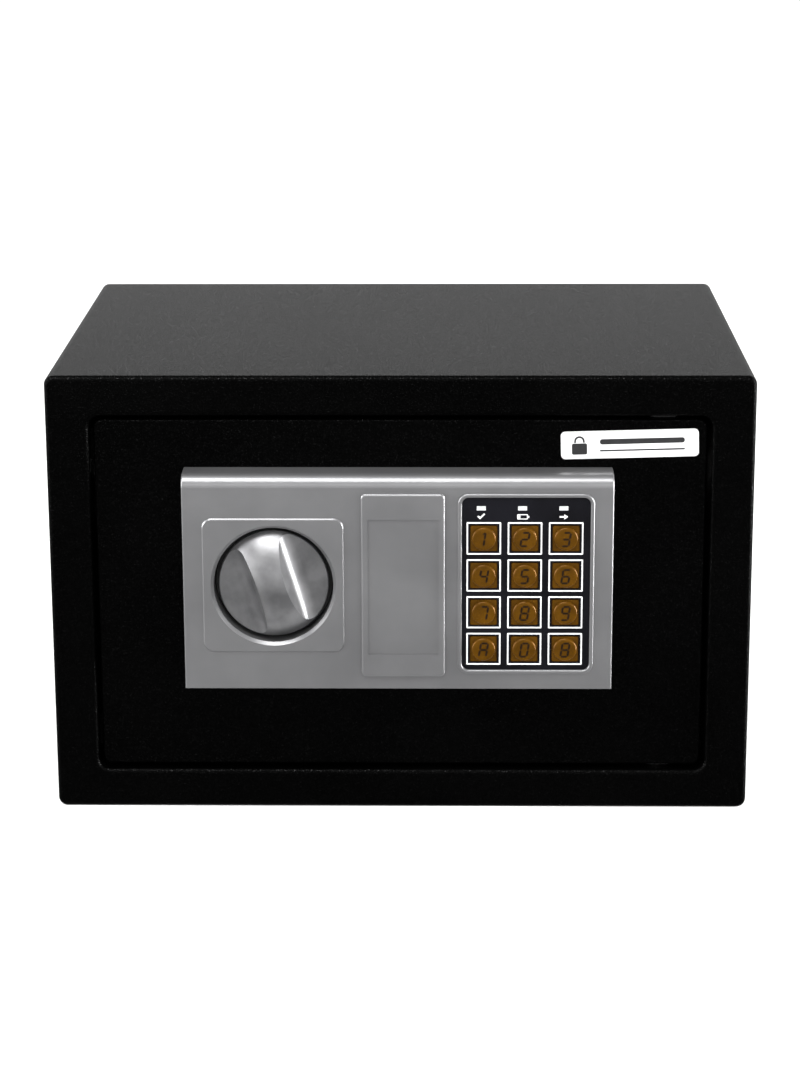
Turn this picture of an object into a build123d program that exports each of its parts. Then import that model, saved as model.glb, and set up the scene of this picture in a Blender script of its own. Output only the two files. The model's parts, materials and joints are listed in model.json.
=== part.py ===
"""A small digital safe: a welded sheet-steel cabinet, a hinged door with a solenoid lock,
a silver lock panel with a turning knob, a key cover over the emergency lock, and a 12-key keypad.

Millimetres. The origin is the centre of the base, on the surface the safe stands on.
+X is to the right of a person facing the door, +Y runs from the door to the back, +Z is up.
At rest the door is closed and the bolts are drawn back, so the door is free to open.
"""

from build123d import *
import math
import os

# ---------------------------------------------------------------- cabinet
WIDTH, DEPTH, HEIGHT = 310.0, 200.0, 200.0
FRONT, BACK = -DEPTH / 2, DEPTH / 2
SHEET = 2.0                      # cabinet wall
CORNER_R = 4.0                   # long bends of the wrap
LIP_T, LIP_EDGE_R = 2.5, 2.2     # front frame plate and its rounded outer edge
LIP_SIDE, LIP_TOP = 19.0, 18.0   # width of the frame beside and above the door
OPEN_W, OPEN_H, OPEN_R = WIDTH - 2 * LIP_SIDE, HEIGHT - 2 * LIP_TOP, 5.0
JAMB_DEPTH, JAMB_EDGE_R = 18.0, 2.0
MID_Z = HEIGHT / 2
JAMB_BACK = FRONT + JAMB_DEPTH
ANCHOR_R, ANCHOR_SPACING = 5.0, 200.0
FLOOR_ANCHOR_Y, WALL_ANCHOR_Z = 40.0, 105.0
MAT_T, MAT_GAP, MAT_HOLE_R = 2.0, 2.5, 8.0

# ---------------------------------------------------------------- door
DOOR_FACE, DOOR_T = FRONT + 2.5, 4.0
DOOR_BACK = DOOR_FACE + DOOR_T
DOOR_LEFT, DOOR_RIGHT = -OPEN_W / 2 + 1.75, OPEN_W / 2 - 2.0
DOOR_LOW, DOOR_HIGH = LIP_TOP + 1.75, HEIGHT - LIP_TOP - 1.75
DOOR_R, DOOR_EDGE_R = 4.0, 1.2
STOP_GAP = 0.3
HINGE_X, HINGE_Y, PIN_R = 115.5, FRONT + 10.5, 3.0
RUNNING = 0.05                   # radial clearance of a turning fit
HINGE_ARM_T, HINGE_ARM_GAP = 3.0, 6.5
ARM_TOP = HEIGHT - LIP_TOP - HINGE_ARM_GAP
ARM_UNDER = ARM_TOP - HINGE_ARM_T
PIN_HEAD_R, PIN_HEAD_T = 4.6, 2.0

# ---------------------------------------------------------------- lock panel
PANEL_L, PANEL_R, PANEL_LOW, PANEL_HIGH = -95.0, 93.0, 60.8, 158.5
PANEL_T, PANEL_WALL, PANEL_ROLL_R, PANEL_EDGE_R = 14.0, 2.5, 5.5, 0.7
PANEL_FACE = DOOR_FACE - PANEL_T
PANEL_INNER = PANEL_FACE + PANEL_WALL

KNOB_X, KNOB_Z = -55.4, 108.7
PLATE_W, PLATE_H, PLATE_RISE = 62.0, 61.2, 0.7
KNOB_R, KNOB_SKIRT, KNOB_EDGE = 24.1, 3.8, 0.35
KNOB_FLATS = PANEL_FACE - PLATE_RISE + 3.6      # the knob's flats lie below the raised plate
DOME_RISE = 10.6
GRIP_BASE, GRIP_TOP, SCOOP_R = 9.8, 5.7, 7.0     # half widths of the grip, and the hollow of its sides
KNOB_TILT = 17.0                 # the grip leans this far to the left of upright
WELL_R, WELL_CHAMFER = 26.2, 1.3
WELL_FLOOR = DOOR_FACE - 4.0
SPINDLE_R = 5.0

COVER_X, COVER_Z, COVER_W, COVER_H = 1.35, 109.0, 36.7, 83.7
COVER_RISE, COVER_LAP = 1.9, 1.65
FIELD_Z, FIELD_W, FIELD_H, FIELD_DEPTH = 108.3, 30.9, 61.9, 0.6   # sunk field on the cover
LOCK_X, LOCK_Z, LOCK_R, PLUG_R = 1.35, 84.0, 9.0, 6.0

WINDOW_L, WINDOW_R, WINDOW_LOW, WINDOW_HIGH = 27.0, 82.9, 70.0, 148.8
WINDOW_X, WINDOW_Z = (WINDOW_L + WINDOW_R) / 2, (WINDOW_LOW + WINDOW_HIGH) / 2
WINDOW_W, WINDOW_H = WINDOW_R - WINDOW_L, WINDOW_HIGH - WINDOW_LOW
BEAD_W, BEAD_RISE = 1.8, 0.9
OVERLAY_FRONT, OVERLAY_T, LEDGE = PANEL_FACE + 0.2, 1.2, 1.8
OVERLAY_BACK = OVERLAY_FRONT + OVERLAY_T
KEY_PITCH_X, KEY_PITCH_Z = 17.88, 16.9
KEY_FIRST_X, KEY_FIRST_Z = 36.55, 130.25
KEY_SIZE, KEY_HOLE, KEY_DISC_R = 11.4, 12.1, 5.3
KEY_TRAVEL = 1.0
KEY_ROWS = (("key_1", "key_2", "key_3"), ("key_4", "key_5", "key_6"),
            ("key_7", "key_8", "key_9"), ("key_a", "key_0", "key_b"))
LAMP_XS, LAMP_Z, LAMP_W, LAMP_H = (35.4, 53.3, 71.2), 143.9, 3.9, 1.9
BADGE_X, BADGE_Z, BADGE_W, BADGE_H, BADGE_TILT = 100.3, 169.2, 60.1, 12.4, 1.5

# ---------------------------------------------------------------- lock work behind the door
THROW = 14.0                     # travel of the bolts
KNOB_TURN = 70.0                 # degrees of knob for the full throw
CRANK_R = THROW / 2 / math.sin(math.radians(KNOB_TURN / 2))
CRANK_PIN_R, CRANK_PLAY = 2.5, 0.5
CARRIAGE_Y0, CARRIAGE_T = -83.0, 2.0
CARRIAGE_L, CARRIAGE_R, CARRIAGE_LOW, CARRIAGE_HIGH = -104.0, -24.0, 62.0, 154.0
BOLT_R, BOLT_Y, BOLT_TIP = 6.0, -75.0, -133.0
BOLT_ZS = (72.0, 144.0)
STUDS = ((-90.0, 84.0), (-90.0, 132.0), (-44.0, 84.0), (-44.0, 132.0))
STUD_R = 3.0
PLUNGER_X, PLUNGER_Y, PLUNGER_R, PLUNGER_TRAVEL = -62.0, -82.0, 3.0, 7.0
COIL_LOW, COIL_HIGH, COIL_R = 28.0, 46.0, 9.0
COLLAR_LOW, COLLAR_T = 52.0, 1.5

# ---------------------------------------------------------------- inner cover and what it carries
CASE_L, CASE_R, CASE_LOW, CASE_HIGH = -121.0, 99.0, 23.0, 172.0
CASE_BACK, CASE_T = -58.5, 1.2
CASE_INNER = CASE_BACK - CASE_T
POSTS = ((-110.0, 35.0), (-110.0, 163.0), (90.0, 35.0), (90.0, 164.5))
CELL_R, CELL_LEN, CELLS = 7.25, 50.5, 4
TRAY_L, TRAY_R, TRAY_LOW, TRAY_HIGH = 24.0, 86.0, 92.0, 156.5
TRAY_FLOOR, TRAY_WALL = -78.0, 1.6
LID_Y0, LID_T = CASE_BACK + 0.3, 1.8
RESET_X, RESET_Z, RESET_R = 60.0, 55.0, 4.3
LEAD_R, GROMMET_X, GROMMET_Z = 1.2, 54.0, 147.0


# ================================================================ drawing helpers
def slab(x0, x1, y0, y1, z0, z1):
    """A block between two corners."""
    centre = Pos((x0 + x1) / 2, (y0 + y1) / 2, (z0 + z1) / 2)
    return centre * Box(x1 - x0, y1 - y0, z1 - z0)


def prism(sketch, y0, y1):
    """A sketch in X and Z, drawn out from y0 to y1."""
    return extrude(Plane.XZ.offset(-y1) * sketch, amount=y1 - y0)


def panel(x, z, w, h, r, y0, y1):
    """A plate parallel to the door, with rounded corners."""
    return prism(Pos(x, z) * RectangleRounded(w, h, r), y0, y1)


def plate(x, z, w, h, y0, y1):
    """A plate parallel to the door, with square corners."""
    return prism(Pos(x, z) * Rectangle(w, h), y0, y1)


def rod_x(y, z, r, x0, x1):
    return Pos((x0 + x1) / 2, y, z) * Rot(0, 90, 0) * Cylinder(r, x1 - x0)


def rod_y(x, z, r, y0, y1):
    return Pos(x, (y0 + y1) / 2, z) * Rot(90, 0, 0) * Cylinder(r, y1 - y0)


def rod_z(x, y, r, z0, z1):
    return Pos(x, y, (z0 + z1) / 2) * Cylinder(r, z1 - z0)


def slot_x(x0, x1, z, r, y0, y1):
    """A slot along X with round ends, its end centres at x0 and x1."""
    return prism(Pos((x0 + x1) / 2, z) * SlotCenterToCenter(x1 - x0, 2 * r), y0, y1)


def front_edges(shape):
    """The edges of the face that looks out of the door."""
    return shape.faces().sort_by(Axis.Y)[0].edges()


def screw(x, z, shank_r, head_r, y_tip, y_seat, y_head):
    """A pan-head screw along Y, its head standing on y_seat and its recess cross-shaped."""
    body = rod_y(x, z, shank_r, *sorted((y_tip, y_seat)))
    head = rod_y(x, z, head_r, *sorted((y_seat, y_head)))
    head = fillet(head.faces().sort_by(Axis.Y)[-1 if y_head > y_seat else 0].edges(), 0.4)
    inward = -0.8 if y_head > y_seat else 0.8
    deep = sorted((y_head, y_head + inward))
    return body + head - plate(x, z, head_r, 0.7, *deep) - plate(x, z, 0.7, head_r, *deep)


def lead(points, radii):
    """A round two-core cable along straight runs joined by arcs."""
    path = FilletPolyline(*points, radius=radii)
    section = Plane(path @ 0, z_dir=path % 0) * Circle(LEAD_R)
    return sweep(section, path=path)


# ================================================================ cabinet
def cabinet_wrap():
    """Top, floor and sides, folded from one sheet, open at the front and the back."""
    outer = Pos(0, MID_Z) * RectangleRounded(WIDTH, HEIGHT, CORNER_R)
    inner = Pos(0, MID_Z) * RectangleRounded(WIDTH - 2 * SHEET, HEIGHT - 2 * SHEET, CORNER_R - SHEET)
    wrap = prism(outer - inner, FRONT + LIP_T, BACK)
    for side in (-1, 1):
        wrap -= rod_z(side * ANCHOR_SPACING / 2, FLOOR_ANCHOR_Y, ANCHOR_R, -1, SHEET + 1)
    return wrap


def front_frame():
    """The frame round the door: a plate with a rolled outer edge and a jamb folded inwards."""
    lip = panel(0, MID_Z, WIDTH, HEIGHT, CORNER_R, FRONT, FRONT + LIP_T)
    lip = fillet(front_edges(lip), LIP_EDGE_R)
    jamb = panel(0, MID_Z, OPEN_W + 2 * SHEET, OPEN_H + 2 * SHEET, OPEN_R + SHEET, FRONT + 1, JAMB_BACK)
    frame = lip + jamb - panel(0, MID_Z, OPEN_W, OPEN_H, OPEN_R, FRONT - 1, JAMB_BACK + 1)
    inner_rim = frame.edges().filter_by(lambda e: abs(e.center().Y - FRONT) < 0.01)
    frame = fillet(inner_rim.filter_by(lambda e: on_opening(e)), JAMB_EDGE_R)
    return frame - rod_z(HINGE_X, HINGE_Y, PIN_R + RUNNING, 0.5 * LIP_TOP, HEIGHT - 0.5 * LIP_TOP)


def on_opening(edge):
    """True for an edge of the door opening rather than of the outside."""
    middle = edge @ 0.5
    return abs(middle.X) < OPEN_W / 2 + 0.1 and abs(middle.Z - MID_Z) < OPEN_H / 2 + 0.1


def back_panel():
    """The back plate, set inside the wrap, with two holes for wall anchors."""
    back = panel(0, MID_Z, WIDTH - 2 * SHEET, HEIGHT - 2 * SHEET, CORNER_R - SHEET, BACK - SHEET, BACK)
    for side in (-1, 1):
        back -= rod_y(side * ANCHOR_SPACING / 2, WALL_ANCHOR_Z, ANCHOR_R, BACK - SHEET - 1, BACK + 1)
    return back


def floor_mat():
    """The felt mat on the floor, punched over the floor anchors."""
    half = WIDTH / 2 - SHEET - MAT_GAP
    mat = slab(-half, half, JAMB_BACK + 2, BACK - SHEET - MAT_GAP, SHEET, SHEET + MAT_T)
    for side in (-1, 1):
        mat -= rod_z(side * ANCHOR_SPACING / 2, FLOOR_ANCHOR_Y, MAT_HOLE_R, 0, 2 * SHEET + MAT_T)
    return mat


def door_stops():
    """Two tabs welded to the free-side jamb, which the closed door meets."""
    face = DOOR_BACK + STOP_GAP
    left = -OPEN_W / 2
    return Compound([slab(left, left + 6, face, face + 2, z, z + 14) for z in (28.0, 161.0)])


# ================================================================ door
def door_plate():
    width, height = DOOR_RIGHT - DOOR_LEFT, DOOR_HIGH - DOOR_LOW
    x, z = (DOOR_LEFT + DOOR_RIGHT) / 2, (DOOR_LOW + DOOR_HIGH) / 2
    door = panel(x, z, width, height, DOOR_R, DOOR_FACE, DOOR_BACK)
    door = fillet(front_edges(door), DOOR_EDGE_R)
    through = (DOOR_FACE - 1, DOOR_BACK + 1)
    door -= rod_y(KNOB_X, KNOB_Z, 7.0, *through)
    door -= rod_y(LOCK_X, LOCK_Z, LOCK_R, *through)
    door -= rod_y(GROMMET_X, GROMMET_Z, 7.0, *through)
    for x, z in PANEL_BOSSES:
        door -= rod_y(x, z, 2.2, *through)
    return door


def hinge_brackets():
    """Angles welded inside the door, whose arms carry the hinge pins."""
    foot = slab(101, 127.5, DOOR_BACK, DOOR_BACK + 2.5, ARM_TOP - 24, ARM_TOP)
    arm = slab(104, 125.5, DOOR_BACK, DOOR_BACK + 10.5, ARM_UNDER, ARM_TOP)
    bracket = foot + arm - rod_z(HINGE_X, HINGE_Y, PIN_R, ARM_UNDER - 1, ARM_TOP + 1)
    bracket -= rod_z(HINGE_X, HINGE_Y, PIN_HEAD_R + 0.3, ARM_UNDER - PIN_HEAD_T - 0.5, ARM_UNDER)
    return Compound([bracket, mirrored_low(bracket)])


def hinge_pins():
    """Headed pins, fast in the brackets and turning in the jambs; the heads are flatted for the door."""
    pin = rod_z(HINGE_X, HINGE_Y, PIN_R, ARM_UNDER, HEIGHT - LIP_TOP + 6)
    pin = chamfer(pin.edges().sort_by(Axis.Z)[-1], 0.8)
    head = rod_z(HINGE_X, HINGE_Y, PIN_HEAD_R, ARM_UNDER - PIN_HEAD_T, ARM_UNDER)
    pin += flatted(head)
    return Compound([pin, mirrored_low(pin)])


def hinge_spacers():
    """Nylon spacers on the pins, which keep the door centred between the jambs."""
    low, high = LIP_TOP + 0.3, LIP_TOP + HINGE_ARM_GAP
    ring = rod_z(HINGE_X, HINGE_Y, 6, low, high) - rod_z(HINGE_X, HINGE_Y, PIN_R, low - 1, high + 1)
    ring = flatted(ring)
    return Compound([ring, mirrored_low(ring)])


def flatted(shape):
    """The shape cut back to stay clear of the door plate."""
    return shape - slab(HINGE_X - 10, HINGE_X + 10, DOOR_FACE, DOOR_BACK + 0.1, 0, HEIGHT)


def mirrored_low(shape):
    """The same piece at the other end of the door."""
    return mirror(shape, about=Plane.XY.offset(MID_Z))


# ================================================================ lock panel
PANEL_BOSSES = ((-89.0, 66.0), (-89.0, 151.0), (87.0, 65.0), (87.0, 152.0))
BOARD_BOSSES = ((31.0, 67.6), (79.0, 67.6), (31.0, 150.4), (79.0, 150.4))
BOARD_FRONT, BOARD_T = -102.6, 1.6
MAT_TOP = BOARD_FRONT - 1.0
DOME_TOP = MAT_TOP - 2.0


def panel_shell():
    """The hollow casting with its rolled top edge."""
    x, z = (PANEL_L + PANEL_R) / 2, (PANEL_LOW + PANEL_HIGH) / 2
    width, height = PANEL_R - PANEL_L, PANEL_HIGH - PANEL_LOW
    shell = plate(x, z, width, height, PANEL_FACE, DOOR_FACE)
    top_front = shell.edges().filter_by(Axis.X).sort_by(Axis.Y)[0:2].sort_by(Axis.Z)[-1]
    shell = fillet(top_front, PANEL_ROLL_R)
    flat = shell.faces().sort_by(Axis.Y)[0].edges()
    shell = fillet(flat.sort_by(Axis.Z)[0:1] + flat.filter_by(Axis.Z), PANEL_EDGE_R)
    hollow = plate(x, z, width - 2 * PANEL_WALL, height - 2 * PANEL_WALL, PANEL_INNER, DOOR_FACE + 1)
    top_inner = hollow.edges().filter_by(Axis.X).sort_by(Axis.Y)[0:2].sort_by(Axis.Z)[-1]
    return shell - fillet(top_inner, PANEL_ROLL_R - PANEL_WALL)


def knob_plate_and_well(shell):
    """The raised square, and the round well that the knob turns in."""
    raised = PANEL_FACE - PLATE_RISE
    square = panel(KNOB_X, KNOB_Z, PLATE_W, PLATE_H, 4.5, raised, PANEL_INNER)
    square = chamfer(front_edges(square), 0.55)
    shell = shell + square + rod_y(KNOB_X, KNOB_Z, WELL_R + 2.5, PANEL_FACE + 1, DOOR_FACE)
    mouth = Pos(KNOB_X, raised + WELL_CHAMFER / 2, KNOB_Z) * Rot(90, 0, 0)
    shell -= mouth * Cone(WELL_R, WELL_R + WELL_CHAMFER, WELL_CHAMFER)
    shell -= rod_y(KNOB_X, KNOB_Z, WELL_R, raised, WELL_FLOOR)
    return shell - rod_y(KNOB_X, KNOB_Z, SPINDLE_R + 1, WELL_FLOOR - 1, DOOR_FACE + 1)


def cover_pocket(shell):
    """The pocket under the key cover, round the emergency lock."""
    width, height = COVER_W - 2 * COVER_LAP, COVER_H - 2 * COVER_LAP
    shell += plate(COVER_X, COVER_Z, width + 3.6, height + 3.6, PANEL_INNER - 1, DOOR_FACE)
    shell -= plate(COVER_X, COVER_Z, width, height, PANEL_FACE - 1, DOOR_FACE - 2)
    return shell - rod_y(LOCK_X, LOCK_Z, LOCK_R, DOOR_FACE - 3, DOOR_FACE + 1)


def keypad_window(shell):
    """The bead round the keypad, the seat for the overlay and the opening behind it."""
    front = PANEL_FACE - BEAD_RISE
    w, h = WINDOW_W, WINDOW_H
    bead = panel(WINDOW_X, WINDOW_Z, w + 2 * BEAD_W, h + 2 * BEAD_W, 4.8, front, PANEL_FACE + 1)
    bead -= panel(WINDOW_X, WINDOW_Z, w, h, 3.0, front - 1, PANEL_FACE + 2)
    bead = fillet(front_edges(bead), 0.7)
    shell += bead
    shell -= panel(WINDOW_X, WINDOW_Z, w, h, 3.0, front - 1, OVERLAY_BACK)
    return shell - plate(WINDOW_X, WINDOW_Z, w - 2 * LEDGE, h - 2 * LEDGE, PANEL_FACE, PANEL_INNER + 1)


def lock_panel():
    shell = keypad_window(cover_pocket(knob_plate_and_well(panel_shell())))
    for x, z in PANEL_BOSSES:
        shell += rod_y(x, z, 3.4, PANEL_INNER - 0.5, DOOR_FACE)
        shell -= rod_y(x, z, 2.0, PANEL_INNER + 2, DOOR_FACE + 1)
    for x, z in BOARD_BOSSES:
        shell += rod_y(x, z, 2.4, PANEL_INNER - 0.3, BOARD_FRONT)
        shell -= rod_y(x, z, 1.3, PANEL_INNER + 1, BOARD_FRONT + 1)
    return shell


def panel_screws():
    seat = DOOR_BACK
    return Compound([screw(x, z, 2.0, 3.6, PANEL_INNER + 4, seat, seat + 2.4) for x, z in PANEL_BOSSES])


def key_cover():
    """The pull-off cover over the emergency lock, with a sunk field on its face."""
    face = PANEL_FACE - COVER_RISE
    cover = panel(COVER_X, COVER_Z, COVER_W, COVER_H, 2.2, face, PANEL_FACE)
    cover = fillet(front_edges(cover), 1.1)
    cover -= plate(COVER_X, FIELD_Z, FIELD_W, FIELD_H, face - 1, face + FIELD_DEPTH)
    skirt_w, skirt_h = COVER_W - 2 * COVER_LAP - 0.4, COVER_H - 2 * COVER_LAP - 0.4
    skirt = plate(COVER_X, COVER_Z, skirt_w, skirt_h, PANEL_FACE, PANEL_FACE + 3.5)
    skirt -= plate(COVER_X, COVER_Z, skirt_w - 3, skirt_h - 3, PANEL_FACE - 1, PANEL_FACE + 5)
    return cover + skirt


def knob():
    """The turning knob: a disc with a domed grip left standing between two scoops."""
    dome_r = KNOB_R - KNOB_EDGE
    ball_r = (dome_r**2 + DOME_RISE**2) / (2 * DOME_RISE)
    ball = Pos(0, 0, DOME_RISE - ball_r) * Rot(90, 0, 0) * Sphere(ball_r)
    dome = ball & slab(-KNOB_R, KNOB_R, -KNOB_R, KNOB_R, 0, DOME_RISE)
    rake = (GRIP_BASE - GRIP_TOP) / DOME_RISE
    top = DOME_RISE + 3
    outline = Polyline((GRIP_BASE, 0), (GRIP_BASE - rake * top, top), (30, top), (30, 0), close=True)
    scoop = make_face(outline)
    scoop = fillet(scoop.vertices().sort_by_distance((GRIP_BASE, 0))[0], SCOOP_R)
    scoop = extrude(Plane.XZ.offset(-30) * scoop, amount=60)
    disc = Pos(0, 0, -KNOB_SKIRT / 2) * Cylinder(KNOB_R, KNOB_SKIRT)
    disc = chamfer(disc.edges().sort_by(Axis.Z)[-1], KNOB_EDGE)
    body = disc + (dome - scoop - mirror(scoop, about=Plane.YZ))
    body -= Pos(0, 0, -KNOB_SKIRT / 2 + 3) * Cylinder(SPINDLE_R, KNOB_SKIRT + 6)
    seat = Plane((KNOB_X, KNOB_FLATS, KNOB_Z), x_dir=(1, 0, 0), z_dir=(0, -1, 0))
    return seat * Rot(0, 0, KNOB_TILT) * body


def knob_spindle():
    return rod_y(KNOB_X, KNOB_Z, SPINDLE_R, KNOB_FLATS - 4, -84)


def spindle_bush():
    """The flanged bush that the spindle turns in."""
    bush = rod_y(KNOB_X, KNOB_Z, 7, DOOR_FACE, DOOR_BACK) + rod_y(KNOB_X, KNOB_Z, 10, DOOR_BACK, DOOR_BACK + 2)
    return bush - rod_y(KNOB_X, KNOB_Z, SPINDLE_R + RUNNING, DOOR_FACE - 1, DOOR_BACK + 3)


def crank_disc():
    """The disc on the spindle whose pin drives the bolt carriage."""
    angle = math.radians(90 - KNOB_TURN / 2)
    x, z = KNOB_X + CRANK_R * math.cos(angle), KNOB_Z + CRANK_R * math.sin(angle)
    disc = rod_y(KNOB_X, KNOB_Z, 17, -88, -84) - rod_y(KNOB_X, KNOB_Z, SPINDLE_R, -89, -83)
    return disc + rod_y(x, z, CRANK_PIN_R, -85, -79.5)


# ================================================================ keypad
def key_places():
    """Each key's name with the middle of its cap."""
    return [(name, KEY_FIRST_X + c * KEY_PITCH_X, KEY_FIRST_Z - r * KEY_PITCH_Z)
            for r, row in enumerate(KEY_ROWS) for c, name in enumerate(row)]


def keypad_overlay():
    """The printed front of the keypad, with square holes for the keys and slots for the lamps."""
    y0, y1 = OVERLAY_FRONT - 1, OVERLAY_BACK + 1
    overlay = panel(WINDOW_X, WINDOW_Z, WINDOW_W - 0.1, WINDOW_H - 0.1, 2.9, OVERLAY_FRONT, OVERLAY_BACK)
    for _, x, z in key_places():
        overlay -= panel(x, z, KEY_HOLE, KEY_HOLE, 0.4, y0, y1)
    for x in LAMP_XS:
        overlay -= plate(x, LAMP_Z, LAMP_W, LAMP_H, y0, y1)
    return overlay


def key_cap(x, z):
    """One key: a square cap with a round pad, a flange behind the overlay and a foot."""
    cap_front = OVERLAY_FRONT - 0.2
    flange_back = OVERLAY_BACK + 1.2
    cap = panel(x, z, KEY_SIZE, KEY_SIZE, 0.6, cap_front, OVERLAY_BACK + 0.5)
    pad = rod_y(x, z, KEY_DISC_R, cap_front - 1.4, cap_front)
    pad = fillet(front_edges(pad), 1.0)
    flange = plate(x, z, KEY_SIZE + 1.6, KEY_SIZE + 1.6, OVERLAY_BACK + 0.2, flange_back)
    return cap + pad + flange + rod_y(x, z, 2.5, flange_back, DOME_TOP - KEY_TRAVEL - 0.3)


def indicator_lenses():
    return Compound([plate(x, LAMP_Z, LAMP_W, LAMP_H, OVERLAY_FRONT - 0.05, OVERLAY_BACK) for x in LAMP_XS])


def dome_mat():
    """The silicone mat with a spring dome under each key."""
    mat = slab(28.6, 80.6, MAT_TOP, BOARD_FRONT, 71.8, 138)
    for _, x, z in key_places():
        dome = rod_y(x, z, 4, DOME_TOP, MAT_TOP)
        mat += fillet(front_edges(dome), 0.9)
    return mat


def keypad_board():
    """The circuit board, with its lamps in front, and the socket for the leads and a chip behind."""
    back = BOARD_FRONT + BOARD_T
    board = slab(28, 82, BOARD_FRONT, back, 65, 153)
    board += slab(46, 62, back, back + 2.4, 142.5, 151.5) + slab(40, 52, back, back + 1.8, 92, 104)
    for x in LAMP_XS:
        board += plate(x, LAMP_Z, 3, 1.8, BOARD_FRONT - 3.2, BOARD_FRONT)
    for x, z in BOARD_BOSSES:
        board -= rod_y(x, z, 1.4, BOARD_FRONT - 1, back + 1)
    return board


def board_screws():
    seat = BOARD_FRONT + BOARD_T
    return Compound([screw(x, z, 1.25, 2.3, PANEL_INNER + 2, seat, seat + 1.4) for x, z in BOARD_BOSSES])


def nameplate():
    """A thin plate stuck to the door, slightly out of level."""
    outline = Pos(BADGE_X, BADGE_Z) * Rot(0, 0, BADGE_TILT) * RectangleRounded(BADGE_W, BADGE_H, 2.0)
    return fillet(front_edges(prism(outline, DOOR_FACE - 0.9, DOOR_FACE)), 0.35)


# ================================================================ emergency lock
def override_lock_body():
    barrel = rod_y(LOCK_X, LOCK_Z, LOCK_R, -103.5, -87) - rod_y(LOCK_X, LOCK_Z, PLUG_R + RUNNING, -105, -86)
    return barrel


def override_lock_nut():
    hexagon = Pos(LOCK_X, LOCK_Z) * (RegularPolygon(13, 6) - Circle(LOCK_R))
    return prism(hexagon, DOOR_BACK, DOOR_BACK + 3.5)


def override_lock_plug():
    """The plug that the emergency key turns."""
    plug = rod_y(LOCK_X, LOCK_Z, PLUG_R, -103.8, -86.8)
    return plug - plate(LOCK_X, LOCK_Z, 1.7, 7.6, -104.5, -97)


def override_cam():
    """The tail on the plug, which swings down over the release arm."""
    hub = Pos(LOCK_X, LOCK_Z) * Circle(7)
    tail = Pos(LOCK_X + 11, LOCK_Z) * Rectangle(22, 8)
    cam = prism(hub + tail, -86.8, -84.8)
    return cam + rod_y(LOCK_X, LOCK_Z, 3.6, -84.8, -83.2)


# ================================================================ lock work
def bolt_carriage():
    """The sliding plate that draws and throws both bolts, notched for the plunger."""
    y0, y1 = CARRIAGE_Y0, CARRIAGE_Y0 + CARRIAGE_T
    through = (y0 - 1, y1 + 1)
    carriage = slab(CARRIAGE_L, CARRIAGE_R, y0, y1, CARRIAGE_LOW, CARRIAGE_HIGH)
    carriage += slab(CARRIAGE_L, CARRIAGE_L + CARRIAGE_T, y0, BOLT_Y + 8, CARRIAGE_LOW, CARRIAGE_HIGH)
    for x, z in STUDS:
        carriage -= slot_x(x, x + THROW, z, STUD_R + 0.2, *through)
    pin_x = KNOB_X + THROW / 2
    crank_slot = Rectangle(2 * (CRANK_PIN_R + CRANK_PLAY), 10)
    carriage -= prism(Pos(pin_x, KNOB_Z + CRANK_R - 1) * crank_slot, *through)
    for x in (PLUNGER_X, PLUNGER_X + THROW):
        carriage -= slab(x - 3.75, x + 3.75, *through, CARRIAGE_LOW - 1, CARRIAGE_LOW + 8)
    for z in BOLT_ZS:
        carriage -= rod_x(BOLT_Y, z, 3, CARRIAGE_L - 1, CARRIAGE_L + CARRIAGE_T + 1)
    return carriage


def locking_bolts():
    """Two round bolts with bevelled noses, riveted to the carriage."""
    return Compound([locking_bolt(z) for z in BOLT_ZS])


def locking_bolt(z):
    bolt = rod_x(BOLT_Y, z, BOLT_R, BOLT_TIP, CARRIAGE_L)
    bolt = chamfer(bolt.edges().sort_by(Axis.X)[0], 1.2)
    bolt += rod_x(BOLT_Y, z, 3, CARRIAGE_L, CARRIAGE_L + CARRIAGE_T)
    return bolt + rod_x(BOLT_Y, z, 4.5, CARRIAGE_L + CARRIAGE_T, CARRIAGE_L + CARRIAGE_T + 1.5)


def bolt_guide():
    """The angle near the door's free edge that both bolts run through."""
    guide = slab(-133, -122.5, DOOR_BACK, DOOR_BACK + 2, 58, 158)
    guide += slab(-124.5, -122.5, DOOR_BACK, BOLT_Y + 9, 58, 158)
    for z in BOLT_ZS:
        guide -= rod_x(BOLT_Y, z, BOLT_R + 0.1, -126, -121)
    return guide


def guide_studs():
    """Shouldered studs in the door that the carriage slides on."""
    studs = []
    for x, z in STUDS:
        stud = rod_y(x, z, 5, DOOR_BACK, CARRIAGE_Y0 - 0.2)
        stud += rod_y(x, z, STUD_R, CARRIAGE_Y0 - 0.2, CARRIAGE_Y0 + CARRIAGE_T + 0.3)
        head_y = CARRIAGE_Y0 + CARRIAGE_T + 0.3
        studs.append(stud + rod_y(x, z, 5, head_y, head_y + 1.5))
    return Compound(studs)


def solenoid_frame():
    """The bent strip that holds the coil to the door."""
    left, right, back = PLUNGER_X - 10, PLUNGER_X + 10, PLUNGER_Y + 10
    frame = slab(left, right, DOOR_BACK, DOOR_BACK + 2, COIL_LOW - 2, COIL_HIGH + 2)
    for z in (COIL_LOW - 2, COIL_HIGH):
        frame += slab(left, right, DOOR_BACK, back, z, z + 2)
    return frame - rod_z(PLUNGER_X, PLUNGER_Y, PLUNGER_R + 0.1, COIL_HIGH - 1, COIL_HIGH + 3)


def solenoid_coil():
    coil = rod_z(PLUNGER_X, PLUNGER_Y, COIL_R, COIL_LOW, COIL_HIGH)
    return coil - rod_z(PLUNGER_X, PLUNGER_Y, PLUNGER_R + 0.1, COIL_LOW + 2, COIL_HIGH + 1)


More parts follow.
